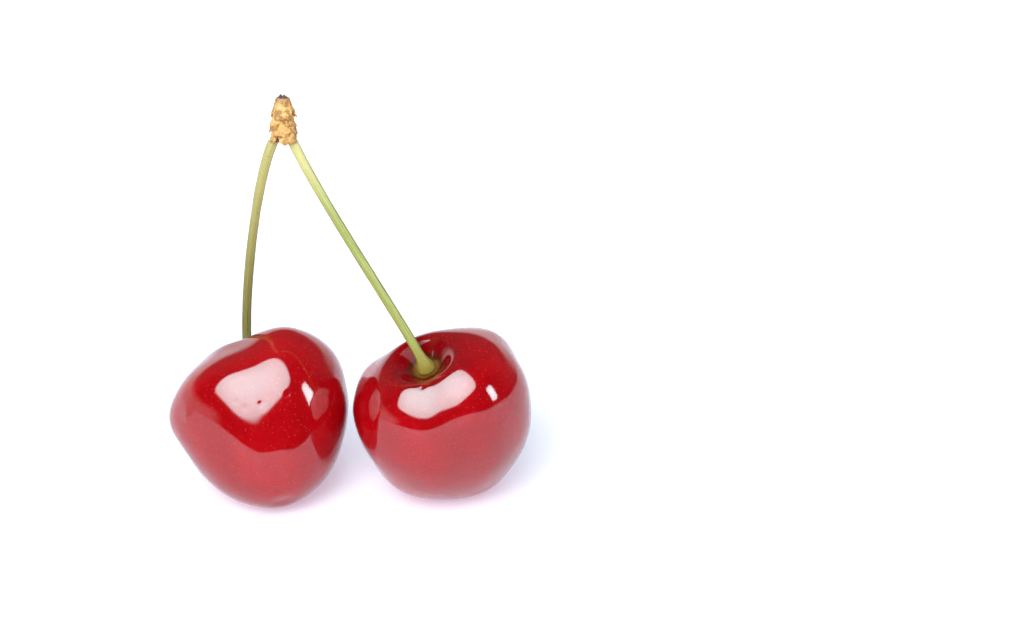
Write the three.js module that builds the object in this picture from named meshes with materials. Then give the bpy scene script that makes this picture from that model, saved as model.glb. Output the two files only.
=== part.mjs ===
// Two sweet cherries on their stalks, joined at the bit of woody spur they were picked with.
//
// Millimetres, +Z up. The pair rests on its two cherries with the stalks standing up, +X runs
// from the left cherry to the right one, and the origin is the middle of the bottom of its box.
// Each cherry, each stalk, the spur and every dry bud scale round it is one solid of its own.
import * as THREE from "three";

// ---- Driving dimensions ----

// A cherry is described about its own axis, which runs from the blossom end up to the stalk.
// lean tips that axis from upright, towards a bearing counted from +X round to +Y.
// The shoulders are the ring round the stalk: highShoulder is the side of the higher one, and
// the seam is the faint furrow from the stalk hollow to the blossom end.
const leftCherry = {
  width: 25.6,
  top: 12.4, // from the widest ring up to the shoulders
  bottom: 14.2, // from the widest ring down to the blossom end
  taper: 0.16, // how much fuller the stalk half is than the blossom half
  shoulderRise: 2.2,
  highShoulder: 60,
  seam: 280,
  seamDip: 0.8, // how far the shoulders sink where the seam crosses them
  hollowRadius: 3.6,
  hollowDepth: 3.6,
  lean: 54,
  bearing: 108,
};
const rightCherry = {
  width: 26.0,
  top: 13.2,
  bottom: 13.5,
  taper: 0.13,
  shoulderRise: 2.1,
  highShoulder: -62,
  seam: 275,
  seamDip: 0.5,
  hollowRadius: 4.0,
  hollowDepth: 3.4,
  lean: 24,
  bearing: 233,
};
const skin = {
  oval: 0.015, // share of the width that the cheeks stand out beside the seam
  seamWidth: 24, // degrees
  furrowDepth: 0.3,
  hollowSharpness: 3, // above 2 gives the hollow a flatter floor and steeper sides
  tipDimpleRadius: 1.6,
  tipDimpleDepth: 0.4,
  restPress: 0.25, // how far the soft flesh gives way where a cherry rests
  slices: 44,
  rings: 32,
  ringCrowding: 1.15, // above 1 gathers the rings round the stalk hollow
};
const cherryGap = 0.9; // between the two nominal widths
const cherryStagger = 1.1; // the left cherry sits this far behind the right one

// The spur stands clear above and behind the cherries, on the two stalks.
const spur = {
  place: new THREE.Vector3(-9.7, 11.9, 50.8), // its lower end, from the middle of the pair
  leanBack: 9,
  height: 6.0,
  lowerRadius: 1.45,
  upperRadius: 1.0,
  brokenRadius: 0.5, // the splintered end, which stands above the uppermost scales
  brokenHeight: 0.7,
  slices: 16,
};

const stalk = {
  radius: 0.65,
  spurRadius: 0.72,
  spurTaper: 9, // length over which it thickens towards the spur
  footRadius: 1.3, // the flared foot in the stalk hollow
  footTaper: 1.5,
  footSeat: 0.4, // clear of the floor of the hollow
  spurSeat: 0.15,
  stations: 26,
  sides: 10,
};
// leave: how far along its cherry's axis a stalk is steered, in depths of the hollow.
// arrive: the stretch that steers it into the spur.
// apart: from the spur's axis to the stalk's, where the stalk comes out of it.
const leftStalk = { leave: 1.75, arrive: new THREE.Vector3(3.1, 1.75, 5.6), apart: 1.3 };
const rightStalk = { leave: 1.85, arrive: new THREE.Vector3(-4.1, 1.95, 9.3), apart: 1.12 };

const scale = {
  rows: 4,
  perRow: 3,
  firstRow: 5.8, // height of the uppermost row's bases above the spur's lower end
  pitch: 1.15,
  rowTwist: 52, // degrees from one row to the next
  length: 2.2,
  halfWidth: 52, // degrees round the spur
  tipShare: 0.18, // the tip's width as a share of the widest
  fullness: 0.6, // under 1 keeps a scale wide for longer before it narrows to its tip
  thickness: 0.12,
  seat: 0.1, // between a scale's base and the spur
  flare: 0.45, // how far the tip stands out from its base
  flareSwing: 0.12, // and how much that differs from scale to scale
  stepsAcross: 6,
  stepsAlong: 5,
};

// ---- Materials ----

const finish = (color, roughness) => new THREE.MeshStandardMaterial({ color, roughness, metalness: 0 });
const leftSkin = () => finish("#b0101a", 0.14);
const rightSkin = () => finish("#a80e16", 0.14);
const greenStalk = () => finish("#a9ac52", 0.5);
const paleStalk = () => finish("#c3c768", 0.5);
const wood = () => finish("#8a6350", 0.9);
const paper = () => finish("#d3a057", 0.8);

// ---- Cherries ----

const radians = THREE.MathUtils.degToRad;
const up = new THREE.Vector3(0, 0, 1);

// The signed angle between two bearings, the short way round.
const between = (a, b) => Math.atan2(Math.sin(a - b), Math.cos(a - b));

const bell = (x) => Math.exp(-x * x);

// A swelling that is 1 on the crest of the shoulders and fades out towards both ends.
function shoulderShare(polar) {
  const swelling = (c) => (1 - c * c) * ((1 + c) / 2) ** 3;
  const crest = 0.6; // the cosine of the polar angle where it is greatest
  return swelling(Math.cos(polar)) / swelling(crest);
}

// The point of a cherry's skin at a polar angle (0 at the stalk) and a bearing round its axis.
function skinPoint(cherry, polar, bearing) {
  const s = Math.sin(polar);
  const c = Math.cos(polar);
  const fromSeam = between(bearing, radians(cherry.seam));
  const nearSeam = bell(fromSeam / radians(skin.seamWidth));

  const cheeks = 1 - skin.oval * Math.cos(2 * fromSeam);
  const round = (cherry.width / 2) * s * (1 + cherry.taper * c) * cheeks;
  const radius = round - skin.furrowDepth * nearSeam * s * s;

  // Heights run smoothly from the blossom end through the widest ring to the stalk end.
  const even = (cherry.top + cherry.bottom) / 2;
  const uneven = (cherry.top - cherry.bottom) / 2;
  let height = even * c + uneven * c * c;

  const side = Math.cos(bearing - radians(cherry.highShoulder));
  height += shoulderShare(polar) * (cherry.shoulderRise * side - cherry.seamDip * nearSeam);

  const intoHollow = (radius / cherry.hollowRadius) ** skin.hollowSharpness;
  if (c > 0) height -= cherry.hollowDepth * Math.exp(-intoHollow);
  if (c < 0) height += skin.tipDimpleDepth * bell(radius / skin.tipDimpleRadius);
  return new THREE.Vector3(radius * Math.cos(bearing), radius * Math.sin(bearing), height);
}

// The turn that tips a cherry's own axis from +Z to where it leans.
function leanOf(cherry) {
  const bearing = radians(cherry.bearing);
  const axis = up.clone().applyAxisAngle(new THREE.Vector3(0, 1, 0), radians(cherry.lean));
  axis.applyAxisAngle(up, bearing);
  return new THREE.Quaternion().setFromUnitVectors(up, axis);
}

// A whole cherry, standing on the ground: where it rests, its flesh is pressed flat.
function makeCherry(name, cherry, material, x, y) {
  const geometry = new THREE.SphereGeometry(1, skin.slices, skin.rings);
  const points = geometry.getAttribute("position");
  const lean = leanOf(cherry);
  const back = lean.clone().invert();
  const onSphere = new THREE.Vector3();
  const leaning = [];
  for (let i = 0; i < points.count; i++) {
    onSphere.fromBufferAttribute(points, i);
    const share = Math.acos(THREE.MathUtils.clamp(onSphere.y, -1, 1)) / Math.PI;
    const polar = Math.PI * share ** skin.ringCrowding;
    const bearing = Math.atan2(-onSphere.z, onSphere.x);
    leaning.push(skinPoint(cherry, polar, bearing).applyQuaternion(lean));
  }
  const ground = Math.min(...leaning.map((p) => p.z)) + skin.restPress;
  leaning.forEach((point, i) => {
    point.z = Math.max(point.z, ground);
    point.applyQuaternion(back);
    points.setXYZ(i, point.x, point.y, point.z);
  });
  geometry.computeVertexNormals();

  const mesh = new THREE.Mesh(geometry, material);
  mesh.name = name;
  mesh.quaternion.copy(lean);
  mesh.position.set(x, y, -ground);
  return mesh;
}

const spacing = (leftCherry.width + rightCherry.width) / 2 + cherryGap;
const left = makeCherry("cherry_left", leftCherry, leftSkin(), -spacing / 2, cherryStagger / 2);
const right = makeCherry("cherry_right", rightCherry, rightSkin(), spacing / 2, -cherryStagger / 2);

// ---- Spur ----

// The spur's radius at a height above its lower end.
function spurRadius(height) {
  return THREE.MathUtils.lerp(spur.lowerRadius, spur.upperRadius, height / spur.height);
}

// A lathe turns its profile about +Y: the pieces made by one are stood up on +Z.
function upright(geometry) {
  return geometry.rotateX(Math.PI / 2);
}

function makeSpurStub() {
  const splinterDip = spur.brokenHeight / 2;
  const profile = [
    new THREE.Vector2(0, 0),
    new THREE.Vector2(spurRadius(0), 0),
    new THREE.Vector2(spurRadius(spur.height / 2), spur.height / 2),
    new THREE.Vector2(spurRadius(spur.height), spur.height),
    new THREE.Vector2(spur.brokenRadius, spur.height + spur.brokenHeight),
    new THREE.Vector2(spur.brokenRadius / 2, spur.height + spur.brokenHeight),
    new THREE.Vector2(0, spur.height + splinterDip),
  ];
  const mesh = new THREE.Mesh(upright(new THREE.LatheGeometry(profile, spur.slices)), wood());
  mesh.name = "spur_stub";
  return mesh;
}

// One papery bud scale: a thin box wrapped round the spur, its base against the wood and its
// narrow tip standing out and pointing down towards the stalks.
function makeBudScale(name, baseHeight, bearing, flare) {
  const geometry = new THREE.BoxGeometry(2, 1, 1, scale.stepsAcross, scale.stepsAlong, 1);
  const points = geometry.getAttribute("position");
  const at = new THREE.Vector3();
  for (let i = 0; i < points.count; i++) {
    at.fromBufferAttribute(points, i);
    const along = 0.5 - at.y; // 0 at the base, 1 at the tip
    const narrowing = Math.cos((along * Math.PI) / 2) ** scale.fullness;
    const width = THREE.MathUtils.lerp(scale.tipShare, 1, narrowing);
    const height = baseHeight - along * scale.length;
    const inner = spurRadius(height) + scale.seat + flare * along;
    const radius = inner + (at.z + 0.5) * scale.thickness;
    const angle = bearing + at.x * radians(scale.halfWidth) * width;
    points.setXYZ(i, radius * Math.sin(angle), -radius * Math.cos(angle), height);
  }
  geometry.computeVertexNormals();
  const mesh = new THREE.Mesh(geometry, paper());
  mesh.name = name;
  return mesh;
}

const spurGroup = new THREE.Group();
spurGroup.position.copy(spur.place);
spurGroup.rotation.x = -radians(spur.leanBack);
spurGroup.add(makeSpurStub());
for (let row = 0; row < scale.rows; row++) {
  for (let turn = 0; turn < scale.perRow; turn++) {
    const number = row * scale.perRow + turn + 1;
    const baseHeight = scale.firstRow - row * scale.pitch;
    const bearing = radians(row * scale.rowTwist + (turn * 360) / scale.perRow);
    const flare = scale.flare + scale.flareSwing * Math.sin(number);
    const name = "bud_scale_" + String(number).padStart(2, "0");
    spurGroup.add(makeBudScale(name, baseHeight, bearing, flare));
  }
}
spurGroup.updateMatrixWorld();

// ---- Stalks ----

// A stalk's radius, from its foot's and its top's distance along it.
function stalkRadius(fromFoot, fromTop) {
  const foot = (stalk.footRadius - stalk.radius) * bell(fromFoot / stalk.footTaper);
  const top = (stalk.spurRadius - stalk.radius) * bell(fromTop / stalk.spurTaper);
  return stalk.radius + foot + top;
}

// A stalk is turned straight, with its flared foot, and then bent along its curve.
function makeStalk(name, cherryMesh, cherry, run, side, material) {
  const axis = up.clone().applyQuaternion(cherryMesh.quaternion);
  const floor = skinPoint(cherry, 0, 0).applyQuaternion(cherryMesh.quaternion).add(cherryMesh.position);
  const foot = floor.addScaledVector(axis, stalk.footSeat);
  // The slanted top stays just under the spur's lower end.
  const spurAxis = up.clone().applyQuaternion(spurGroup.quaternion);
  const slant = spurAxis.cross(run.arrive.clone().normalize()).length();
  const drop = stalk.spurSeat + stalk.spurRadius * slant;
  const top = spurGroup.localToWorld(new THREE.Vector3(side * run.apart, 0, -drop));
  const curve = new THREE.CubicBezierCurve3(
    foot,
    foot.clone().addScaledVector(axis, run.leave * cherry.hollowDepth),
    top.clone().sub(run.arrive),
    top,
  );

  const length = curve.getLength();
  const profile = [new THREE.Vector2(0, 0)];
  for (let i = 0; i <= stalk.stations; i++) {
    const fromFoot = (length * i) / stalk.stations;
    profile.push(new THREE.Vector2(stalkRadius(fromFoot, length - fromFoot), fromFoot));
  }
  profile.push(new THREE.Vector2(0, length));

  const geometry = new THREE.LatheGeometry(profile, stalk.sides);
  const points = geometry.getAttribute("position");
  const frames = curve.computeFrenetFrames(stalk.stations);
  for (let i = 0; i < points.count; i++) {
    const station = Math.round((points.getY(i) / length) * stalk.stations);
    const bent = curve.getPointAt(station / stalk.stations);
    bent.addScaledVector(frames.binormals[station], points.getX(i));
    bent.addScaledVector(frames.normals[station], points.getZ(i));
    points.setXYZ(i, bent.x, bent.y, bent.z);
  }
  geometry.computeVertexNormals();
  const mesh = new THREE.Mesh(geometry, material);
  mesh.name = name;
  return mesh;
}

// ---- The pair ----

const pair = new THREE.Group();
pair.add(left, right, spurGroup);
pair.add(makeStalk("stalk_left", left, leftCherry, leftStalk, -1, greenStalk()));
pair.add(makeStalk("stalk_right", right, rightCherry, rightStalk, 1, paleStalk()));

const box = new THREE.Box3().setFromObject(pair, true);
const middle = box.getCenter(new THREE.Vector3());
pair.position.set(-middle.x, -middle.y, -box.min.z);

const cherriesOnStalks = new THREE.Group();
cherriesOnStalks.add(pair);

export default cherriesOnStalks;
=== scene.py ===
# %% [markdown]
# # Cherries on stalks
# This lesson dresses a pair of sweet cherries that were picked together: two glossy fruit, two long
# stalks, and the bit of woody spur that the stalks grew from, still wrapped in dry bud scales. The plain
# solids come from a CAD model that is loaded first, and every finer piece is built over its own solid, in
# metres, in the same place. Shapes are worked out in millimetres, because a cherry is easier to think
# about that way, and turned into metres when a mesh is made.

import math

import bmesh
import bpy
import numpy as np
from mathutils import Matrix, Quaternion, Vector, noise


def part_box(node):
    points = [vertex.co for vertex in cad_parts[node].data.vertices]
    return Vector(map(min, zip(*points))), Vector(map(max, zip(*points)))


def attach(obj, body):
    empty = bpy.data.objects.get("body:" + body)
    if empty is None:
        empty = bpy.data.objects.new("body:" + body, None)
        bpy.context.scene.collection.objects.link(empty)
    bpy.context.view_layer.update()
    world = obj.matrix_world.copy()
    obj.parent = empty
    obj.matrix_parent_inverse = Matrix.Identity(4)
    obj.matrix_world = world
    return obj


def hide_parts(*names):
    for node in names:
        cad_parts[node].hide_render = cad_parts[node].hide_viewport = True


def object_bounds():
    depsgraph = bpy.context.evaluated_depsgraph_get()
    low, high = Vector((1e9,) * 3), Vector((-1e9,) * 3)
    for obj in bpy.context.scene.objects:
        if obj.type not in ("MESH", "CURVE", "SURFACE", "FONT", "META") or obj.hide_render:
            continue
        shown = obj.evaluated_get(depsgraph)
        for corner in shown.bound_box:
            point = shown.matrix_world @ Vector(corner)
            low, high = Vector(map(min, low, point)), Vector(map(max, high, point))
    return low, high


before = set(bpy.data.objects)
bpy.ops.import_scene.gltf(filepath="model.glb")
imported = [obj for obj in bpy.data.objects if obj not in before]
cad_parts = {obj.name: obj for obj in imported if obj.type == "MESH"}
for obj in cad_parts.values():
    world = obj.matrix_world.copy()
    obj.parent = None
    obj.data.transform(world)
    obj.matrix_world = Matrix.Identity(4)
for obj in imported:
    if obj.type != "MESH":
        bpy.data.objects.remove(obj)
cad_box = [Vector(corner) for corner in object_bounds()]
MM = 0.001

print("CAD nodes:", len(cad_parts), "box in mm:", [[round(v / MM, 1) for v in c] for c in cad_box])

# %% [markdown]
# ## The camera
# A long lens, used from further back, keeps small fruit in their true proportions, and looking down a
# little shows the top of each. The pair stands to the left of the middle of the view, so the camera aims
# at a point to the right of it and behind it.

# %% Camera
CAMERA_ELEVATION = math.radians(26)
CAMERA_DISTANCE = 0.444
AIM_HEIGHT = 13 * MM

aim = Vector((0.9 * cad_box[1].x, 1.98 * cad_box[1].y, AIM_HEIGHT))
towards_camera = Vector((0, -math.cos(CAMERA_ELEVATION), math.sin(CAMERA_ELEVATION)))

camera = bpy.data.objects.new("camera", bpy.data.cameras.new("camera"))
camera.data.sensor_width = 36
camera.data.lens = 100
camera.data.clip_start = 0.01
camera.location = aim + CAMERA_DISTANCE * towards_camera
camera.rotation_euler = (math.pi / 2 - CAMERA_ELEVATION, 0, 0)
bpy.context.scene.collection.objects.link(camera)
bpy.context.scene.camera = camera
bpy.context.scene.view_settings.view_transform = "Standard"

print("camera at", [round(v, 3) for v in camera.location])

# %% [markdown]
# ## Arithmetic on shader sockets
# A material's pattern is a sum: a base tone, plus some mottling, less a darker ring, and so on. Blender
# spells each plus and times as a Math node. This small class lets Python spell them instead: it wraps a
# socket, and an operator on it adds the Math node. Every other node comes from its one `node` method,
# which sets a node's settings first and then its sockets, because some settings change which sockets
# there are.


# %% The socket wrapper
class Wire:
    """An output socket of a shader tree, which Python arithmetic works on."""

    def __init__(self, tree, socket=None):
        self.tree = tree
        self.socket = socket

    def node(self, kind, settings=None, sockets=None, out=0):
        """Adds a node of that kind, and returns a wire from one of its outputs."""
        made = self.tree.nodes.new(kind)
        for name, value in (settings or {}).items():
            if name == "stops":
                self.set_stops(made.color_ramp, value)
            else:
                setattr(made, name, value)
        for name, value in (sockets or {}).items():
            if isinstance(value, Wire):
                self.tree.links.new(value.socket, made.inputs[name])
            else:
                made.inputs[name].default_value = value
        return Wire(self.tree, made.outputs[out] if len(made.outputs) else None)

    @staticmethod
    def set_stops(ramp, stops):
        """Gives a colour ramp its stops, each a position and a colour."""
        while len(ramp.elements) < len(stops):
            ramp.elements.new(1)
        for element, (position, colour) in zip(ramp.elements, stops):
            element.position = position
            element.color = colour

    def math(self, operation, a, b):
        return self.node("ShaderNodeMath", {"operation": operation}, {0: a, 1: b})

    def __add__(self, other):
        return self.math("ADD", self, other)

    __radd__ = __add__

    def __sub__(self, other):
        return self.math("SUBTRACT", self, other)

    def __rsub__(self, other):
        return self.math("SUBTRACT", other, self)

    def __mul__(self, other):
        return self.math("MULTIPLY", self, other)

    __rmul__ = __mul__

    def __pow__(self, other):
        return self.math("POWER", self, other)


# %% [markdown]
# A few patterns come up in every finish: a smooth fade between two values, one colour mixed over another,
# a cloudy noise, and the height that a bump is made from. Each is a line or two on top of the wrapper.
# Lengths in a pattern are in millimetres, so `per_mm` first turns the mesh's own metres into millimetres.


# %% Patterns that every finish uses
def fade(value, start, end):
    """0 where value is at start, 1 where it is at end, and smooth between."""
    settings = {"interpolation_type": "SMOOTHSTEP"}
    return value.node("ShaderNodeMapRange", settings, {0: value, 1: start, 2: end, 3: 0.0, 4: 1.0})


def mix(factor, under, over):
    """One colour over another: under where factor is 0, over where it is 1."""
    return factor.node("ShaderNodeMix", {"data_type": "RGBA"}, {0: factor, 6: under, 7: over}, out=2)


def cloud(where, size, detail=2.0, roughness=0.5):
    """Noise from 0 to 1 whose lumps are about size millimetres across."""
    sockets = {"Vector": where, "Scale": 1.0 / size, "Detail": detail, "Roughness": roughness}
    return where.node("ShaderNodeTexNoise", None, sockets)


def bump(height, depth, under=None):
    """A normal from a height that runs from 0 to 1, with depth in millimetres."""
    sockets = {"Height": height, "Strength": 1.0, "Distance": depth * MM}
    if under:
        sockets["Normal"] = under
    return height.node("ShaderNodeBump", None, sockets)


def attribute(wire, name):
    """A value that the mesh carries at each of its vertices."""
    return wire.node("ShaderNodeAttribute", {"attribute_name": name}, out=2)


def start_material(name):
    """A new material, the wire that starts its tree, and its place in millimetres."""
    material = bpy.data.materials.new(name)
    material.use_nodes = True
    material.node_tree.nodes.clear()
    wire = Wire(material.node_tree)
    metres = wire.node("ShaderNodeTexCoord", out=3)
    per_mm = wire.node("ShaderNodeVectorMath", {"operation": "SCALE"}, {0: metres, "Scale": 1 / MM})
    return material, wire, per_mm


def finish_material(wire, colour, roughness, normal, constants):
    """Closes a tree with one Principled shader: three patterns and its constant sockets."""
    sockets = {"Base Color": colour, "Roughness": roughness, "Normal": normal}
    sockets.update(constants)
    surface = wire.node("ShaderNodeBsdfPrincipled", None, sockets)
    wire.node("ShaderNodeOutputMaterial", None, {"Surface": surface})


# %% [markdown]
# ## From points to pieces
# Every piece here is a grid of points that a formula placed: rings round a stalk, rows down a scale. One
# function turns such points and faces into a mesh object, stores the values that its finish will read,
# gives it its finish, and ties it to the CAD model's body and node.


# %% Make a piece
def make_piece(name, points, faces, values, material, node):
    """A smooth mesh piece from points in millimetres, standing for one CAD node."""
    mesh = bpy.data.meshes.new(name)
    mesh.from_pydata([tuple(p) for p in np.asarray(points) * MM], [], faces)
    for key, numbers in values.items():
        carried = mesh.attributes.new(key, "FLOAT", "POINT")
        carried.data.foreach_set("value", np.asarray(numbers, np.float32))
    mesh.validate()
    mesh.shade_smooth()
    mesh.materials.append(material)
    piece = bpy.data.objects.new(name, mesh)
    bpy.context.scene.collection.objects.link(piece)
    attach(piece, "root")
    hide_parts(node)
    low, high = (np.array(corner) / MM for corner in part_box(node))
    off = max(abs(points.min(0) - low).max(), abs(points.max(0) - high).max())
    print(f"{name}: {len(points)} points, {len(faces)} faces, {off:.2f} mm from its CAD node's box")
    return piece


def grid_faces(rows, columns, closed):
    """The quads of a grid of points; closed joins its last column to its first."""
    faces = []
    for row in range(rows - 1):
        for column in range(columns if closed else columns - 1):
            across = (column + 1) % columns
            a = row * columns + column
            b = row * columns + across
            faces.append((a, b, b + columns, a + columns))
    return faces


# %% [markdown]
# ## The shape of a cherry
# A cherry is a ball that nature has pushed about. It is fuller at the stalk end, its shoulders rise round
# a hollow where the stalk sits, one shoulder is higher than the other, and a shallow seam runs from the
# hollow to the blossom end. A formula holds all of that in a few sizes, and the surface that it gives has
# no dents of its own, which matters on a skin as shiny as this one: a mirror shows every fault. The sizes
# are the ones that the CAD solids were made to, with a deeper seam on the right cherry.

# %% Sizes of the two cherries, in millimetres and degrees
LEFT = {
    "width": 25.6, "top": 12.4, "bottom": 14.2, "taper": 0.16,
    "shoulder_rise": 2.2, "high_shoulder": 60, "seam": 280, "seam_dip": 0.8, "furrow_depth": 0.3,
    "hollow_radius": 3.6, "hollow_depth": 3.6, "lean": 54, "bearing": 108,
}
RIGHT = {
    "width": 26.0, "top": 13.2, "bottom": 13.5, "taper": 0.13,
    "shoulder_rise": 2.1, "high_shoulder": -62, "seam": 275, "seam_dip": 1.3, "furrow_depth": 0.5,
    "hollow_radius": 4.0, "hollow_depth": 3.4, "lean": 24, "bearing": 233,
}
OVAL = 0.015
SEAM_WIDTH = math.radians(24)
SHOULDER_CREST = 0.6
HOLLOW_SHARPNESS = 3
TIP_DIMPLE_RADIUS = 1.6
TIP_DIMPLE_DEPTH = 0.4
REST_PRESS = 0.25


# %% The formula
def bell(x):
    return np.exp(-x * x)


def shoulder_share(c):
    """A swelling that is 1 on the shoulders' crest and fades towards both ends."""
    def swelling(cosine):
        return (1 - cosine * cosine) * ((1 + cosine) / 2) ** 3
    return swelling(c) / swelling(SHOULDER_CREST)


def skin_points(cherry, polar, bearing):
    """Points of a cherry's skin about its own axis, with the stalk end up."""
    s, c = np.sin(polar), np.cos(polar)
    from_seam = np.angle(np.exp(1j * (bearing - math.radians(cherry["seam"]))))
    near_seam = bell(from_seam / SEAM_WIDTH)
    cheeks = 1 - OVAL * np.cos(2 * from_seam)
    radius = cherry["width"] / 2 * s * (1 + cherry["taper"] * c) * cheeks
    radius = radius - cherry["furrow_depth"] * near_seam * s * s
    even = (cherry["top"] + cherry["bottom"]) / 2
    uneven = (cherry["top"] - cherry["bottom"]) / 2
    side = np.cos(bearing - math.radians(cherry["high_shoulder"]))
    height = even * c + uneven * c * c
    height = height + shoulder_share(c) * (cherry["shoulder_rise"] * side - cherry["seam_dip"] * near_seam)
    hollow = np.exp(-(radius / cherry["hollow_radius"]) ** HOLLOW_SHARPNESS)
    height = height - np.where(c > 0, cherry["hollow_depth"] * hollow, 0)
    height = height + np.where(c < 0, TIP_DIMPLE_DEPTH * bell(radius / TIP_DIMPLE_RADIUS), 0)
    return np.stack([radius * np.cos(bearing), radius * np.sin(bearing), height], -1)


def lean_of(cherry):
    """The turn that tips a cherry's axis from upright to where it leans, as a 3 by 3 array."""
    lean, bearing = math.radians(cherry["lean"]), math.radians(cherry["bearing"])
    axis = Vector((math.sin(lean) * math.cos(bearing), math.sin(lean) * math.sin(bearing), math.cos(lean)))
    return np.array(Vector((0, 0, 1)).rotation_difference(axis).to_matrix())


print("widths in mm:", LEFT["width"], RIGHT["width"])


# %% [markdown]
# ## A skin without poles
# A globe's grid crowds together at its poles, and the pinch shows in a reflection. A cube blown up to a
# ball has no poles: its squares stay nearly even all over. So each cherry starts as a finely cut cube,
# and each of its corners is sent out to the skin's formula.

# %% A cube blown up to a ball
CUTS = 55


def ball_mesh():
    """Directions and faces of a cube's grid, spread evenly over a ball."""
    bm = bmesh.new()
    bmesh.ops.create_cube(bm, size=2)
    bmesh.ops.subdivide_edges(bm, edges=bm.edges[:], cuts=CUTS, use_grid_fill=True)
    flat = np.array([v.co for v in bm.verts])
    faces = [tuple(v.index for v in face.verts) for face in bm.faces]
    bm.free()
    evened = np.tan(flat * math.pi / 4)
    return evened / np.linalg.norm(evened, axis=1)[:, None], faces


ball_directions, ball_faces = ball_mesh()
print("ball:", len(ball_directions), "points,", len(ball_faces), "faces")

# %% [markdown]
# ## The skin's finish
# Ripe skin is a clear, wet-looking wax over deep red flesh. The wax is the shader's coat. Below it the
# light goes a little way into the flesh, so the red glows, and the shader's subsurface does that. The
# colour isn't even: it is darkest in and round the stalk hollow, slightly mottled all over, and sprinkled
# with pale breathing pores a tenth of a millimetre wide. Where the stalk was joined, the hollow's floor
# is ochre, one side of the hollow has its wax rubbed dull, and the blossom end keeps a small brown scar.

# %% Skin colours, linear red, green and blue
SKIN_RED = (0.370, 0.0012, 0.0044, 1)
SKIN_BRIGHT = (0.460, 0.0022, 0.0060, 1)
SKIN_DARK = (0.150, 0.0008, 0.0024, 1)
SKIN_CROWN = (0.150, 0.0010, 0.0032, 1)
SKIN_PORE = (0.640, 0.0500, 0.0480, 1)
SKIN_SPECK = (0.055, 0.0060, 0.0050, 1)
HOLLOW_OCHRE = (0.200, 0.080, 0.014, 1)
HOLLOW_BROWN = (0.075, 0.012, 0.004, 1)
SCAR_BROWN = (0.060, 0.018, 0.007, 1)


def make_skin():
    """The finish of both cherries."""
    material, wire, place = start_material("cherry_skin")
    from_stalk = attribute(wire, "from_stalk")
    from_scar = attribute(wire, "from_scar")
    speck = attribute(wire, "speck")
    dull = attribute(wire, "dull")
    blotches = cloud(place, 7.0, detail=3)
    mottle = cloud(place, 1.6, detail=4, roughness=0.6)
    grain = cloud(place, 0.35, detail=2)

    colour = mix(fade(blotches + 0.5 * (mottle - 0.5), 0.35, 0.75), SKIN_RED, SKIN_BRIGHT)
    crown = 1 - fade(from_stalk + 3.0 * (mottle - 0.5), 3.0, 11.0)
    colour = mix(0.75 * crown, colour, SKIN_CROWN)
    colour = mix(0.25 * fade(mottle, 0.55, 0.80), colour, SKIN_DARK)

    cells = place.node("ShaderNodeTexVoronoi", None, {"Vector": place, "Scale": 1.7, "Randomness": 1.0})
    pores = (1 - fade(cells, 0.08, 0.26)) * fade(grain + 0.4 * (mottle - 0.5), 0.20, 0.55)
    colour = mix(0.50 * pores, colour, SKIN_PORE)
    colour = mix(0.35 * fade(grain, 0.50, 0.75), colour, SKIN_DARK)
    colour = mix(0.8 * fade(speck, 0.2, 0.8), colour, SKIN_SPECK)

    wavering = from_stalk + 1.2 * (mottle - 0.5)
    colour = mix(1 - fade(wavering, 2.2, 3.3), colour, HOLLOW_BROWN)
    colour = mix(1 - fade(wavering, 1.5, 2.4), colour, HOLLOW_OCHRE)
    colour = mix(0.7 * (1 - fade(from_scar + 0.3 * (grain - 0.5), 0.12, 0.34)), colour, SCAR_BROWN)

    roughness = 0.30 + 0.12 * mottle + 0.25 * (1 - fade(wavering, 1.5, 3.0))
    swell = bump(cloud(place, 3.0, detail=1), 0.045)
    peel = bump(cloud(place, 0.45, detail=3, roughness=0.6), 0.030, swell)
    pits = bump(1 - pores, 0.008, peel)
    constants = {
        "IOR": 1.40,
        "Specular IOR Level": 0.0,
        "Coat Weight": 1 - 0.9 * fade(dull, 0.25, 0.7),
        "Coat Roughness": 0.07,
        "Coat IOR": 1.60,
        "Subsurface Weight": 0.35,
        "Subsurface Radius": (1.0, 0.18, 0.12),
        "Subsurface Scale": 1.6 * MM,
    }
    finish_material(wire, colour, roughness, pits, constants)
    return material


cherry_skin = make_skin()
print("cherry_skin:", len(cherry_skin.node_tree.nodes), "nodes")

# %% [markdown]
# ## Building a cherry
# The fruit is leaned over, set down on the surface and pressed flat by a hair where it touches, exactly as
# its CAD solid is. Slow waves about a tenth of a millimetre deep make its reflections wander as real ones
# do. Marks are pushed into the finished mesh one at a time: wide, soft ones that fill or flatten a cheek or
# a shoulder, and small ones, such as a healed prick or a raised speck.

# %% Waves and marks
WAVE_SIZE = 6.0
WAVE_DEPTH = 0.16
SWELL_SIZE = 2.2
SWELL_DEPTH = 0.018
CALM_HOLLOW = 0.6


def waves(points):
    """How far each point stands in or out of the smooth shape."""
    heights = []
    for point in points:
        at = Vector(point)
        heights.append(WAVE_DEPTH * noise.noise(at / WAVE_SIZE) + SWELL_DEPTH * noise.noise(at / SWELL_SIZE))
    return np.array(heights)


def on_skin(cherry, polar, bearing):
    """One point of a cherry's smooth skin, from its place in degrees."""
    return skin_points(cherry, np.radians([polar]), np.radians([bearing]))[0]


def mark(points, centre, radius, depth):
    """How far one small dent, or bump if depth is below 0, moves each point."""
    away = np.linalg.norm(points - centre, axis=1)
    return -depth * bell(away / radius)


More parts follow.
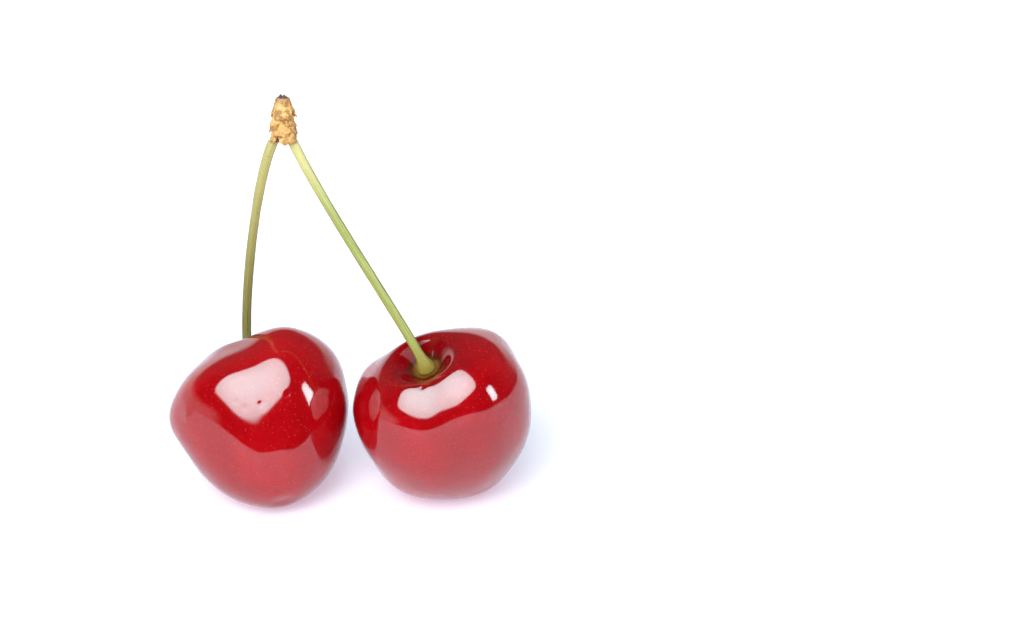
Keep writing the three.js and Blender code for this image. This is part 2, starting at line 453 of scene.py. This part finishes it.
# %% Build both cherries
def make_cherry(name, cherry, marks, specks, scar, dull):
    """One whole fruit over its CAD node. Returns where its axis is and how it leans."""
    polar = np.arccos(np.clip(ball_directions[:, 2], -1, 1))
    bearing = np.arctan2(ball_directions[:, 1], ball_directions[:, 0])
    points = skin_points(cherry, polar, bearing)
    turn = lean_of(cherry)
    outward = ball_directions @ turn.T
    upright = points.copy()
    points = points @ turn.T
    low, high = (np.array(corner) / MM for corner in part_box(name))
    ground = points[:, 2].min() + REST_PRESS
    middle = (points.min(0) + points.max(0)) / 2
    origin = np.array([(low[0] + high[0]) / 2 - middle[0], (low[1] + high[1]) / 2 - middle[1], -ground])

    calm = np.clip(np.linalg.norm(upright[:, :2], axis=1) / cherry["hollow_radius"] - CALM_HOLLOW, 0, 1)
    points = points + outward * (waves(upright) * calm)[:, None]
    for mark_polar, mark_bearing, radius, depth in marks:
        centre = on_skin(cherry, mark_polar, mark_bearing)
        points = points + outward * mark(upright, centre, radius, depth)[:, None]
    points = points + origin
    points[:, 2] = np.maximum(points[:, 2], 0)

    speck = np.zeros(len(points))
    for speck_polar, speck_bearing, radius in specks:
        centre = on_skin(cherry, speck_polar, speck_bearing)
        speck = np.maximum(speck, bell(np.linalg.norm(upright - centre, axis=1) / radius))
    values = {
        "from_stalk": np.linalg.norm(upright - on_skin(cherry, 0, 0), axis=1),
        "from_scar": np.linalg.norm(upright - on_skin(cherry, *scar), axis=1),
        "speck": speck,
        "dull": bell(np.linalg.norm(upright - on_skin(cherry, *dull[:2]), axis=1) / dull[2]),
    }
    piece = make_piece(name + "_fruit", points, ball_faces, values, cherry_skin, name)
    smooth = piece.modifiers.new("smooth", "SUBSURF")
    smooth.levels = smooth.render_levels = 1
    return origin, turn


# Polar and bearing in degrees, then radius and depth in millimetres. A depth below 0 stands out.
LEFT_MARKS = [
    (43, -46, 4.5, -0.50),
    (34, -98, 4.0, 0.50),
    (75, -166, 3.5, -0.38),
    (101, 178, 3.2, 0.45),
    (83, 6, 3.0, 0.18),
    (134, 24, 3.5, -0.25),
    (103.5, -83.1, 0.42, 0.11),
    (103.4, -94.6, 0.36, 0.09),
    (97.8, -99.2, 0.32, 0.07),
    (100.7, -63.1, 0.36, 0.08),
    (89.9, -138.2, 0.85, -0.15),
    (163.3, -93.3, 0.80, 0.10),
    (163.3, -93.3, 0.35, -0.12),
]
RIGHT_MARKS = [
    (54, 150, 3.0, -0.62),
    (43, 116, 3.5, 0.50),
    (45, 78, 3.5, 0.35),
    (63, 40, 3.5, -0.45),
    (76, 18, 3.5, 0.42),
    (93, 2, 4.0, 0.22),
    (139, -66, 3.5, -0.30),
    (116, -134, 3.5, -0.40),
    (91, -158, 3.6, 0.58),
    (79, -172, 3.0, 0.25),
    (24.0, -92.7, 0.42, 0.14),
    (94.0, -95.4, 0.90, 0.06),
    (92.5, -100.4, 0.55, 0.05),
    (56.5, -121.6, 0.25, 0.02),
]
# Where the wax is rubbed dull, inside each hollow: polar and bearing in degrees, radius in millimetres.
LEFT_DULL = (30, 120, 2.5)
RIGHT_DULL = (14, 121, 3.2)
LEFT_SPECKS = [(89.9, -138.2, 0.30)]
RIGHT_SPECKS = [(56.5, -121.6, 0.22), (25.1, -92.2, 0.25)]
left_origin, left_turn = make_cherry("cherry_left", LEFT, LEFT_MARKS, LEFT_SPECKS, (163, -93), LEFT_DULL)
right_origin, right_turn = make_cherry("cherry_right", RIGHT, RIGHT_MARKS, RIGHT_SPECKS, (180, 0), RIGHT_DULL)

# %% [markdown]
# ## The spur's own frame
# The spur leans back a little. Its scales and the tops of the stalks are placed about its axis, so its
# lower end and its lean are found once, from its CAD node's box.

# %% Where the spur is
SPUR_LEAN = math.radians(9)
SPUR_HEIGHT = 6.0
SPUR_LOWER = 1.45
SPUR_UPPER = 1.0
BROKEN_RADIUS = 0.5
BROKEN_HEIGHT = 0.7

stub_low, stub_high = (np.array(corner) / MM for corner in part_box("spur_stub"))
spur_base = np.array([
    (stub_low[0] + stub_high[0]) / 2,
    stub_low[1] + SPUR_LOWER * math.cos(SPUR_LEAN),
    stub_low[2] + SPUR_LOWER * math.sin(SPUR_LEAN),
])
spur_turn = np.array(Matrix.Rotation(-SPUR_LEAN, 3, "X"))


def on_spur(points):
    """Points about the spur's axis, put where the spur is."""
    return np.asarray(points) @ spur_turn.T + spur_base


def spur_radius(height):
    return SPUR_LOWER + (SPUR_UPPER - SPUR_LOWER) * height / SPUR_HEIGHT


print("spur's lower end in mm:", spur_base.round(1))

# %% [markdown]
# ## The stalks
# A stalk is a smooth, slightly ridged rod. It flares into a round foot where it meets the fruit, thickens
# a little towards the spur, and bends on one easy curve between them. Rings of points along that curve
# make it, each ring a little out of round. The left stalk is olive green and flecked with brown, the
# right one is paler, nearly cream by the spur, and both are ochre at the foot.

# %% Stalk sizes, in millimetres
STALK_RADIUS = 0.65
STALK_SPUR_RADIUS = 0.72
STALK_SPUR_TAPER = 9
FOOT_RADIUS = 1.3
FOOT_TAPER = 1.5
FOOT_SEAT = 0.22
SPUR_SEAT = -0.55
JOINT = 0.04
STALK_RINGS = 220
STALK_SIDES = 40
RIDGES = 7
RIDGE_DEPTH = 0.03


def stalk_line(cherry, origin, turn, leave, arrive, apart):
    """Points along a stalk's curve, from its foot to its top, and how far along each is."""
    axis = turn @ np.array([0, 0, 1])
    floor = turn @ skin_points(cherry, np.array([0.0]), np.array([0.0]))[0] + origin
    foot = floor + FOOT_SEAT * axis
    arrive = np.array(arrive)
    slant = np.linalg.norm(np.cross(spur_turn @ [0, 0, 1], arrive / np.linalg.norm(arrive)))
    top = on_spur([apart, 0, -SPUR_SEAT - STALK_SPUR_RADIUS * slant])
    knots = [foot, foot + axis * leave * cherry["hollow_depth"], top - arrive, top]
    t = np.linspace(0, 1, 1200)[:, None]
    curve = sum(k * w for k, w in zip(knots, [(1 - t) ** 3, 3 * t * (1 - t) ** 2, 3 * t * t * (1 - t), t**3]))
    run = np.concatenate([[0], np.cumsum(np.linalg.norm(np.diff(curve, axis=0), axis=1))])
    even = np.linspace(0, run[-1], STALK_RINGS)
    return np.stack([np.interp(even, run, curve[:, k]) for k in range(3)], -1), even


def ring_frames(line):
    """Two directions across the curve at each of its points, which turn as little as they can."""
    along = np.gradient(line, axis=0)
    along /= np.linalg.norm(along, axis=1)[:, None]
    side = np.cross(along[0], [0, 1, 0])
    sides = []
    for direction in along:
        side = side - direction * (side @ direction)
        side = side / np.linalg.norm(side)
        sides.append(side)
    sides = np.array(sides)
    return sides, np.cross(along, sides)


# %% Stalk colours
STALKS = {
    "left": {
        "body": (0.205, 0.185, 0.028, 1), "dark": (0.115, 0.095, 0.016, 1), "top": (0.500, 0.460, 0.165, 1),
        "foot": (0.160, 0.125, 0.020, 1), "fleck": (0.085, 0.045, 0.016, 1), "flecks": 0.9, "reach": 32,
    },
    "right": {
        "body": (0.340, 0.365, 0.060, 1), "dark": (0.230, 0.195, 0.034, 1), "top": (0.660, 0.615, 0.260, 1),
        "foot": (0.290, 0.225, 0.024, 1), "fleck": (0.150, 0.100, 0.036, 1), "flecks": 0.4, "reach": 15,
    },
}


def make_stalk_finish(name, tones):
    """The finish of one stalk, from its own tones."""
    material, wire, place = start_material(name)
    from_foot = attribute(wire, "from_foot")
    from_top = attribute(wire, "from_top")
    around = attribute(wire, "around")
    stretched = wire.node("ShaderNodeCombineXYZ", None, {0: 5.0 * around, 1: 0.25 * from_foot, 2: 0.0})
    streaks = cloud(stretched, 1.0, detail=4, roughness=0.6)
    blotches = cloud(place, 2.4, detail=3)
    grain = cloud(place, 0.18, detail=3)

    colour = mix(fade(streaks, 0.40, 0.72), tones["body"], tones["dark"])
    colour = mix(1 - fade(from_top + 4 * (blotches - 0.5), 0.0, tones["reach"]), colour, tones["top"])
    colour = mix(0.35 * fade(grain, 0.5, 0.8), colour, tones["dark"])
    flecks = fade(cloud(place, 0.55, detail=3, roughness=0.7), 0.62, 0.70) * fade(blotches, 0.45, 0.60)
    colour = mix(tones["flecks"] * flecks, colour, tones["fleck"])
    colour = mix(1 - fade(from_foot + 1.5 * (streaks - 0.5), 0.6, 3.2), colour, tones["foot"])
    roughness = 0.42 + 0.2 * grain + 0.15 * flecks
    ridged = bump(streaks, 0.05)
    grained = bump(grain, 0.012, ridged)
    constants = {
        "IOR": 1.42,
        "Subsurface Weight": 0.25,
        "Subsurface Radius": (0.6, 0.7, 0.2),
        "Subsurface Scale": 0.5 * MM,
    }
    finish_material(wire, colour, roughness, grained, constants)
    return material


# %% Build both stalks
def make_stalk(side_name, slot, line, run, seed):
    """A flared, ridged rod round its curve, closed at both ends and cut flush under the spur."""
    across, over = ring_frames(line)
    length = run[-1]
    radius = STALK_RADIUS + (FOOT_RADIUS - STALK_RADIUS) * bell(run / FOOT_TAPER)
    radius = radius + (STALK_SPUR_RADIUS - STALK_RADIUS) * bell((length - run) / STALK_SPUR_TAPER)
    turns = np.linspace(0, 2 * math.pi, STALK_SIDES, endpoint=False)
    rings, around, from_foot = [], [], []
    for i, centre in enumerate(line):
        drift = 0.8 * noise.noise(Vector((seed, run[i] / 9, 0)))
        ridges = RIDGE_DEPTH * np.cos(RIDGES * turns + drift) + 0.02 * np.cos(2 * turns + 5 * drift)
        lumps = 0.035 * noise.noise(Vector((seed, run[i] / 2.5, 3)))
        r = radius[i] * (1 + lumps) + ridges
        rings.append(centre + np.outer(r * np.cos(turns), across[i]) + np.outer(r * np.sin(turns), over[i]))
        around.extend(np.cos(turns))
        from_foot.extend([run[i]] * STALK_SIDES)
    points = np.concatenate([*rings, [line[0]], [line[-1]]])
    faces = grid_faces(len(line), STALK_SIDES, closed=True)
    foot, top = len(points) - 2, len(points) - 1
    last = (len(line) - 1) * STALK_SIDES
    for k in range(STALK_SIDES):
        after = (k + 1) % STALK_SIDES
        faces.append((foot, after, k))
        faces.append((top, last + k, last + after))
    from_foot = np.array([*from_foot, 0, length])
    values = {"around": [*around, 0, 0], "from_foot": from_foot, "from_top": length - from_foot}
    above_joint = np.maximum((points - spur_base) @ spur_turn[:, 2] - JOINT, 0)
    points = points - np.outer(above_joint, spur_turn[:, 2])
    finish = make_stalk_finish(slot, STALKS[side_name])
    make_piece(f"stalk_{side_name}_rod", points, faces, values, finish, f"stalk_{side_name}")
    print(f"  {length:.1f} mm long")


left_line, left_run = stalk_line(LEFT, left_origin, left_turn, 1.75, (3.1, 1.75, 5.6), -1.3)
right_line, right_run = stalk_line(RIGHT, right_origin, right_turn, 1.85, (-4.1, 1.95, 9.3), 1.12)
make_stalk("left", "stalk_green", left_line, left_run, 3.1)
make_stalk("right", "stalk_pale", right_line, right_run, 8.7)

# %% [markdown]
# ## The spur
# The spur is a scrap of bark-covered wood, torn from the twig. Its sides are furrowed along the grain and
# its top is a splintered break, darker than the rest. A turned profile would look machined, so each ring's
# points are pushed in and out by noise that is stretched along the grain, and more so at the break.

# %% Spur finish and mesh
WOOD_LIGHT = (0.18, 0.095, 0.045, 1)
WOOD_DARK = (0.045, 0.022, 0.012, 1)
WOOD_BREAK = (0.120, 0.062, 0.055, 1)


def make_wood():
    material, wire, place = start_material("spur_wood")
    height = attribute(wire, "height")
    grain_place = wire.node("ShaderNodeMapping", None, {"Vector": place, "Scale": (1, 1, 0.22)})
    grain = cloud(grain_place, 0.22, detail=4, roughness=0.65)
    lumps = cloud(place, 0.5, detail=3)
    colour = mix(fade(grain, 0.35, 0.65), WOOD_DARK, WOOD_LIGHT)
    colour = mix(fade(height + (lumps - 0.5), 5.6, 6.3), colour, WOOD_BREAK)
    colour = mix(0.5 * fade(lumps, 0.55, 0.75), colour, WOOD_DARK)
    roughness = 0.75 + 0.2 * lumps
    normal = bump(grain, 0.10, bump(lumps, 0.10))
    finish_material(wire, colour, roughness, normal, {"IOR": 1.4})
    return material


def make_spur_stub():
    sides, rings = 64, 60
    turns = np.linspace(0, 2 * math.pi, sides, endpoint=False)
    full = SPUR_HEIGHT + BROKEN_HEIGHT
    rows = [np.zeros((sides, 3))]
    for i in range(rings):
        z = full * i / (rings - 1)
        into_break = max(0.0, (z - SPUR_HEIGHT) / BROKEN_HEIGHT)
        base = spur_radius(min(z, SPUR_HEIGHT)) + (BROKEN_RADIUS - SPUR_UPPER) * into_break
        row = []
        for turn in turns:
            at = Vector((math.cos(turn) * 3, math.sin(turn) * 3, z / 2.5))
            r = base * (1 + 0.09 * noise.noise(at)) - 0.05
            splinter = 0.55 * into_break * noise.noise(Vector((math.cos(turn) * 2.3, math.sin(turn) * 2.3, 9)))
            row.append((r * math.cos(turn), r * math.sin(turn), z + splinter - 0.15 * into_break))
        rows.append(np.array(row))
    rim = rows[-1]
    for share in (0.75, 0.5, 0.25):
        row = rim * [share, share, 1]
        dips = [0.35 * (1 - share) + 0.25 * noise.noise(Vector(p) * 2.2) for p in row]
        rows.append(row - np.stack([np.zeros(sides), np.zeros(sides), dips], -1))
    points = np.concatenate([*rows[1:], [[0, 0, 0]], [[0, 0, rows[-1][:, 2].mean()]]])
    count = len(rows) - 1
    faces = grid_faces(count, sides, closed=True)
    last = (count - 1) * sides
    for k in range(sides):
        after = (k + 1) % sides
        faces.append((len(points) - 2, after, k))
        faces.append((len(points) - 1, last + k, last + after))
    values = {"height": points[:, 2]}
    make_piece("spur_stub_wood", on_spur(points), faces, values, make_wood(), "spur_stub")


make_spur_stub()

# %% [markdown]
# ## The bud scales
# The scales once wrapped the winter bud. Now they are dead and dry, as thin as paper, creased, and torn
# at their edges. Each one is a sheet rolled round the spur: wide and tight at its base, narrow and lifted
# at its tip. A ragged edge, lengthways creases and a curl of its own keep any two from looking alike.
# The sheet is built as a grid and then given its thickness, so its edge has two sides, as paper has.

# %% Scale sizes and finish
SCALE_ROWS = 4
SCALES_PER_ROW = 3
FIRST_ROW = 5.8
ROW_PITCH = 1.15
ROW_TWIST = 52
SCALE_LENGTH = 2.35
SCALE_HALF_WIDTH = math.radians(64)
TIP_SHARE = 0.42
SCALE_FULLNESS = 0.45
SCALE_THICKNESS = 0.09
SCALE_SEAT = 0.1
FLARE = 0.45
FLARE_SWING = 0.12

STRAW = (0.840, 0.520, 0.170, 1)
GOLDEN = (0.660, 0.320, 0.065, 1)
RUST = (0.420, 0.160, 0.045, 1)
PALE = (0.860, 0.640, 0.320, 1)
# SHADE is painted shade, laid in the low parts of the creases.
SHADE = (0.300, 0.140, 0.028, 1)


def make_scale_finish():
    material, wire, place = start_material("bud_scale")
    along = attribute(wire, "along")
    across = attribute(wire, "across")
    fold = attribute(wire, "fold")
    tone = attribute(wire, "tone")
    stretched = wire.node("ShaderNodeCombineXYZ", None, {0: 7.0 * across, 1: 1.2 * along, 2: 9.0 * tone})
    fibres = cloud(stretched, 1.0, detail=4, roughness=0.65)
    blotches = cloud(place, 0.8, detail=3)
    colour = mix(fade(tone + 1.6 * (blotches - 0.5), 0.20, 0.80), STRAW, GOLDEN)
    colour = mix(0.7 * fade(fibres, 0.50, 0.75), colour, GOLDEN)
    # Pale patches are partly the scale's own random colour and partly a painted highlight, because they lean
    # onto the raised crests of the folds.
    colour = mix(0.7 * fade(blotches + 0.5 * (fold - 0.5), 0.60, 0.80), colour, PALE)
    colour = mix(0.6 * fade(along + 0.7 * (fibres - 0.5), 0.80, 1.0), colour, RUST)
    # Painted shade: the valleys of the creases are darkened towards SHADE, where shade falls between the
    # folds.
    colour = mix(0.75 * (1 - fade(fold, 0.05, 0.45)), colour, SHADE)
    colour = mix(0.6 * (1 - fade(along, -0.1, 0.30)), colour, RUST)
    roughness = 0.55 + 0.3 * fibres
    normal = bump(fibres, 0.10, bump(blotches, 0.08))
    constants = {"IOR": 1.4, "Subsurface Weight": 0.2, "Subsurface Radius": (0.6, 0.35, 0.15),
                 "Subsurface Scale": 0.4 * MM}
    finish_material(wire, colour, roughness, normal, constants)
    return material


bud_scale = make_scale_finish()
print("bud_scale:", len(bud_scale.node_tree.nodes), "nodes")

# %% Build the scales
ROWS_ALONG = 36
ROWS_ACROSS = 34
HEEL = 0.22
CRUMPLE = 0.17
WRINKLE = 0.07


def stub_profile(height):
    """The stub's radius at a height, over its broken end too."""
    past = max(0.0, height - SPUR_HEIGHT) / BROKEN_HEIGHT
    return spur_radius(min(height, SPUR_HEIGHT)) + (BROKEN_RADIUS - SPUR_UPPER) * past


def make_scale(number, base_height, bearing, flare):
    """One dry scale over its CAD node."""
    points, alongs, acrosses, folds = [], [], [], []
    for i in range(ROWS_ALONG):
        for j in range(ROWS_ACROSS):
            along = (1 + HEEL) * i / (ROWS_ALONG - 1) - HEEL
            u = 2 * j / (ROWS_ACROSS - 1) - 1
            open_share = max(along, 0.0)
            narrowing = math.cos(open_share * math.pi / 2) ** SCALE_FULLNESS
            width = TIP_SHARE + (1 - TIP_SHARE) * narrowing
            torn = noise.noise(Vector((number * 7, along * 9, 4 if u > 0 else 0)))
            ragged = 1 + 0.22 * abs(u) * torn
            reach = 1 + 0.16 * noise.noise(Vector((number * 3.3, u * 4, 5)))
            height = base_height - along * SCALE_LENGTH * reach
            spot = Vector((u * 1.4 * width, along * SCALE_LENGTH, number * 3.7))
            crumple = noise.noise(spot * 1.5)
            wrinkle = noise.noise(spot * 4.0)
            curl = 0.25 * open_share * u * u * noise.noise(Vector((number * 1.7, 2 if u > 0 else 7, 1)))
            fold = CRUMPLE * (0.5 + crumple) * (0.35 + open_share) + WRINKLE * wrinkle
            radius = stub_profile(height) + SCALE_SEAT + flare * open_share + curl + fold - 0.03
            angle = bearing + u * SCALE_HALF_WIDTH * width * ragged
            points.append((radius * math.sin(angle), -radius * math.cos(angle), height))
            alongs.append(along)
            acrosses.append(u * width)
            # fold is the height of the creases. The finish reads it for painted shade in the valleys and for
            # part of a painted highlight on the crests.
            folds.append(0.5 + crumple + 0.5 * wrinkle)
    node = f"bud_scale_{number:02d}"
    tone = 0.5 + 0.5 * noise.noise(Vector((number * 2.9, 0.5, 0.2)))
    values = {"along": alongs, "across": acrosses, "fold": folds, "tone": [tone] * len(points)}
    faces = grid_faces(ROWS_ALONG, ROWS_ACROSS, closed=False)
    piece = make_piece(node + "_paper", on_spur(points), faces, values, bud_scale, node)
    sheet = piece.modifiers.new("thickness", "SOLIDIFY")
    sheet.thickness = SCALE_THICKNESS * MM
    sheet.offset = 1


for row in range(SCALE_ROWS):
    for turn in range(SCALES_PER_ROW):
        number = row * SCALES_PER_ROW + turn + 1
        bearing = math.radians(row * ROW_TWIST + turn * 360 / SCALES_PER_ROW)
        make_scale(number, FIRST_ROW - row * ROW_PITCH, bearing, FLARE + FLARE_SWING * math.sin(number))

# %% [markdown]
# ## The floor and the studio
# The fruit lie on a plain white table that runs back out of sight. What makes them look wet is what they
# mirror: a large soft window-like light above and in front, a narrow strip light to the right, the white
# table below, and a pale wall low behind them, with darkness in between. Lights can be split by what they
# do, so the lamps that are seen in the skin aren't the ones that light the table.

# %% Floor
FLOOR_SIZE = 8.0
TABLE_DARKER = (0.86, 0.88, 0.93, 1)
TABLE_LIGHTER = (0.89, 0.91, 0.96, 1)
TABLE_GLEAM = (0.67, 0.78, 1.0, 1)
TABLE_GLEAM_STRENGTH = 0.44
floor_mesh = bpy.data.meshes.new("table")
half = FLOOR_SIZE / 2
floor_corners = [(-half, -half, 0), (half, -half, 0), (half, half, 0), (-half, half, 0)]
floor_mesh.from_pydata(floor_corners, [], [(0, 1, 2, 3)])
floor = bpy.data.objects.new("table", floor_mesh)
bpy.context.scene.collection.objects.link(floor)

floor.visible_diffuse = False
table_white, table_wire, table_place = start_material("table_white")
table_grain = cloud(table_place, 40.0, detail=2)
finish_material(
    table_wire, mix(table_grain, TABLE_DARKER, TABLE_LIGHTER),
    0.6 + 0.1 * table_grain, bump(table_grain, 0.02),
    {
        "IOR": 1.4,
        "Specular IOR Level": 0.2,
        "Emission Color": TABLE_GLEAM,
        "Emission Strength": TABLE_GLEAM_STRENGTH,
    },
)
floor_mesh.materials.append(table_white)
print("table:", FLOOR_SIZE, "m square")

# %% Lamps
pair_middle = Vector((0, 0, 15 * MM))


def soften(lamp):
    """Makes a panel brightest in its middle and rounds its corners, like cloth over a lamp."""
    lamp.use_nodes = True
    lamp.node_tree.nodes.clear()
    wire = Wire(lamp.node_tree)
    spread = wire.node("ShaderNodeNewGeometry", out=5)
    x = wire.node("ShaderNodeSeparateXYZ", None, {0: spread}, out=0) * 2 - 1
    y = wire.node("ShaderNodeSeparateXYZ", None, {0: spread}, out=1) * 2 - 1
    from_middle = (x * x + y * y) ** 0.5
    square = (x * x * x * x + y * y * y * y) ** 0.25
    edge = 1 - fade(square, 0.86, 1.0)
    glow = wire.node("ShaderNodeEmission", None, {1: edge * (1.1 - 0.35 * fade(from_middle, 0.2, 1.1))})
    wire.node("ShaderNodeOutputLight", None, {0: glow})


def panel(name, azimuth, elevation, distance, width, height, radiance, roll=0.0):
    """A flat lamp facing the pair. Azimuth 0 is the camera's side, and 90 is the right."""
    lamp = bpy.data.lights.new(name, "AREA")
    lamp.shape = "RECTANGLE"
    lamp.size = width
    lamp.size_y = height
    lamp.energy = radiance * math.pi * width * height
    a, e = math.radians(azimuth), math.radians(elevation)
    direction = Vector((math.sin(a) * math.cos(e), -math.cos(a) * math.cos(e), math.sin(e)))
    holder = bpy.data.objects.new(name, lamp)
    holder.location = pair_middle + distance * direction
    facing = direction.to_track_quat("Z", "Y") @ Quaternion((0, 0, 1), math.radians(roll))
    holder.rotation_euler = facing.to_euler()
    holder.visible_camera = False
    bpy.context.scene.collection.objects.link(holder)
    soften(lamp)
    return holder


# The lamps that show in the skin are short of red, because the red skin under them adds it back.
SHINE_COLOUR = (0.66, 0.97, 1.0)
SHINE_DISTANCE = 0.60
KEY_DISTANCE = 2.50

window = panel("window_shine", -22, 62, SHINE_DISTANCE, 0.96, 0.96, 11.8, roll=-23)
strip = panel("strip_shine", 80, 19, SHINE_DISTANCE, 0.13, 0.30, 15)
for shine in (window, strip):
    shine.visible_diffuse = False
    shine.data.color = SHINE_COLOUR
key = panel("key_light", -14, 40, KEY_DISTANCE, 1.60, 1.60, 10.5)
key.visible_glossy = False

# %% The room, as the fruit mirror it
world = bpy.data.worlds.new("studio")
bpy.context.scene.world = world
world.use_nodes = True
world.node_tree.nodes.clear()
sky = Wire(world.node_tree)
direction = sky.node("ShaderNodeTexCoord", out=0)
across = sky.node("ShaderNodeSeparateXYZ", None, {0: direction}, out=0)
back = sky.node("ShaderNodeSeparateXYZ", None, {0: direction}, out=1)
above = sky.node("ShaderNodeSeparateXYZ", None, {0: direction}, out=2)
ROOM_LIGHT = 0.50
TABLE_GLOW = 1.05
DARK_FRONT = 0.02
DIM_BACK = 0.10
PALE_WALL = 0.95
wall = fade(back - 0.9 * across, -0.15, 0.40) * (1 - fade(above, 0.10, 0.28))
mirrored = DARK_FRONT + DIM_BACK * fade(back, 0.0, 0.6) + PALE_WALL * wall
room = ROOM_LIGHT + (TABLE_GLOW - ROOM_LIGHT) * (1 - fade(above, -0.15, 0.02))
rays = sky.node("ShaderNodeLightPath")
is_camera = Wire(sky.tree, rays.socket.node.outputs["Is Camera Ray"])
is_mirror = Wire(sky.tree, rays.socket.node.outputs["Is Glossy Ray"])
brightness = room + is_camera * (1.0 - room) + is_mirror * (mirrored - room)
background = sky.node("ShaderNodeBackground", None, {"Color": (1, 1, 1, 1), "Strength": brightness})
sky.node("ShaderNodeOutputWorld", None, {"Surface": background})

print("world:", len(world.node_tree.nodes), "nodes")
